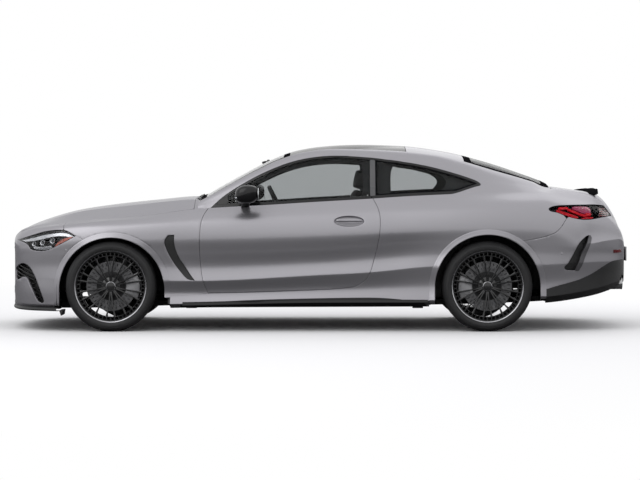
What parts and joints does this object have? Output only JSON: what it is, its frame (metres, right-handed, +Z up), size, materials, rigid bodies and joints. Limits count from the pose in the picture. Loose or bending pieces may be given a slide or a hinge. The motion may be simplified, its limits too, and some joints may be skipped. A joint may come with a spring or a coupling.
{
  "type": "coupe car",
  "caption": "Silver-grey performance coupe with frameless doors, a black glass roof, a boot lip and spoked black alloy wheels; doors, lids, steering and wheels move.",
  "frame": {"origin": "on the ground under the middle of the car, on its centre plane", "axes": "+X towards the tail, -Y towards the driver's side, +Z up"},
  "size_m": [4.8504, 2.036, 1.4345],
  "materials": {
    "body_paint": "metallic silver grey with clear coat",
    "gloss_black": "high gloss black",
    "black_plastic": "grained black",
    "window_glass": "lightly tinted",
    "lamp_glass": "clear lens",
    "tail_lens": "smoked red lens",
    "exhaust_steel": "dark satin",
    "underbody": "matt protective coat",
    "axle_steel": "as cast",
    "caliper_paint": "grey enamel",
    "disc_iron": "machined faces",
    "engine_alloy": "plain block",
    "cabin_plastic": "soft grain",
    "leather": "black, stitched",
    "tyre": "matt side wall",
    "wheel_paint": "gloss black with machined lip"
  },
  "bodies": {
    "body": {"front_fenders": "body_paint", "front_bumper": "body_paint", "headlamps": "lamp_glass", "grille": "gloss_black", "rear_bumper": "body_paint", "rear_diffuser": "black_plastic", "tailpipes": "exhaust_steel", "tail_lamps": "tail_lens", "roof_pillars": "body_paint", "right_body_side": "body_paint", "left_body_side": "body_paint", "floor_pan": "underbody", "jack_pads": "black_plastic", "wheelhouses": "black_plastic", "firewall": "underbody", "cowl_panel": "black_plastic", "parcel_shelf": "black_plastic", "rear_bulkhead": "underbody", "windscreen": "window_glass", "rear_window": "window_glass", "roof_glass": "gloss_black", "roof_panel": "body_paint", "quarter_windows": "window_glass", "dashboard": "cabin_plastic", "front_seats": "leather", "rear_seat": "leather", "steering_wheel": "leather", "engine": "engine_alloy", "front_axle": "axle_steel", "rear_axle": "axle_steel", "rear_calipers": "caliper_paint"},
    "hood": {"hood": "body_paint"},
    "boot_lid": {"boot_lid": "body_paint", "boot_spoiler": "gloss_black"},
    "left_door": {"left_door": "body_paint", "left_door_glass": "window_glass", "left_mirror": "gloss_black"},
    "left_knuckle": {"left_knuckle": "axle_steel"},
    "right_door": {"right_door": "body_paint", "right_door_glass": "window_glass", "right_mirror": "gloss_black"},
    "right_knuckle": {"right_knuckle": "axle_steel"},
    "front_left_wheel": {"front_left_tyre": "tyre", "front_left_wheel": "wheel_paint", "front_left_brake_disc": "disc_iron"},
    "front_right_wheel": {"front_right_tyre": "tyre", "front_right_wheel": "wheel_paint", "front_right_brake_disc": "disc_iron"},
    "rear_left_wheel": {"rear_left_tyre": "tyre", "rear_left_wheel": "wheel_paint", "rear_left_brake_disc": "disc_iron"},
    "rear_right_wheel": {"rear_right_tyre": "tyre", "rear_right_wheel": "wheel_paint", "rear_right_brake_disc": "disc_iron"}
  },
  "joints": [
    {"name": "left_steer", "type": "hinge", "parent": "body", "child": "left_knuckle", "pos_m": [-1.589, -0.79, 0.345], "axis": [0, 0, 1], "range_deg": [-33, 33]},
    {"name": "right_steer", "type": "hinge", "parent": "body", "child": "right_knuckle", "pos_m": [-1.589, 0.79, 0.345], "axis": [0, 0, 1], "range_deg": [-33, 33]},
    {"name": "front_left_spin", "type": "hinge", "parent": "left_knuckle", "child": "front_left_wheel", "pos_m": [-1.589, -0.8, 0.345], "axis": [0, -1, 0], "continuous": true},
    {"name": "front_right_spin", "type": "hinge", "parent": "right_knuckle", "child": "front_right_wheel", "pos_m": [-1.589, 0.8, 0.345], "axis": [0, -1, 0], "continuous": true},
    {"name": "rear_left_spin", "type": "hinge", "parent": "body", "child": "rear_left_wheel", "pos_m": [1.286, -0.8, 0.345], "axis": [0, -1, 0], "continuous": true},
    {"name": "rear_right_spin", "type": "hinge", "parent": "body", "child": "rear_right_wheel", "pos_m": [1.286, 0.8, 0.345], "axis": [0, -1, 0], "continuous": true},
    {"name": "left_door_hinge", "type": "hinge", "parent": "body", "child": "left_door", "pos_m": [-0.9135, -0.931, 0.6], "axis": [0, 0, -1], "range_deg": [0, 65]},
    {"name": "right_door_hinge", "type": "hinge", "parent": "body", "child": "right_door", "pos_m": [-0.9135, 0.931, 0.6], "axis": [0, 0, 1], "range_deg": [0, 65]},
    {"name": "hood_hinge", "type": "hinge", "parent": "body", "child": "hood", "pos_m": [-0.957, 0, 1.034], "axis": [0, 1, 0], "range_deg": [0, 50]},
    {"name": "boot_lid_hinge", "type": "hinge", "parent": "body", "child": "boot_lid", "pos_m": [1.81, 0, 1.112], "axis": [0, -1, 0], "range_deg": [0, 75]}
  ],
  "couplings": [
    {"joint": "right_steer", "follows": "left_steer", "ratio": 1}
  ]
}
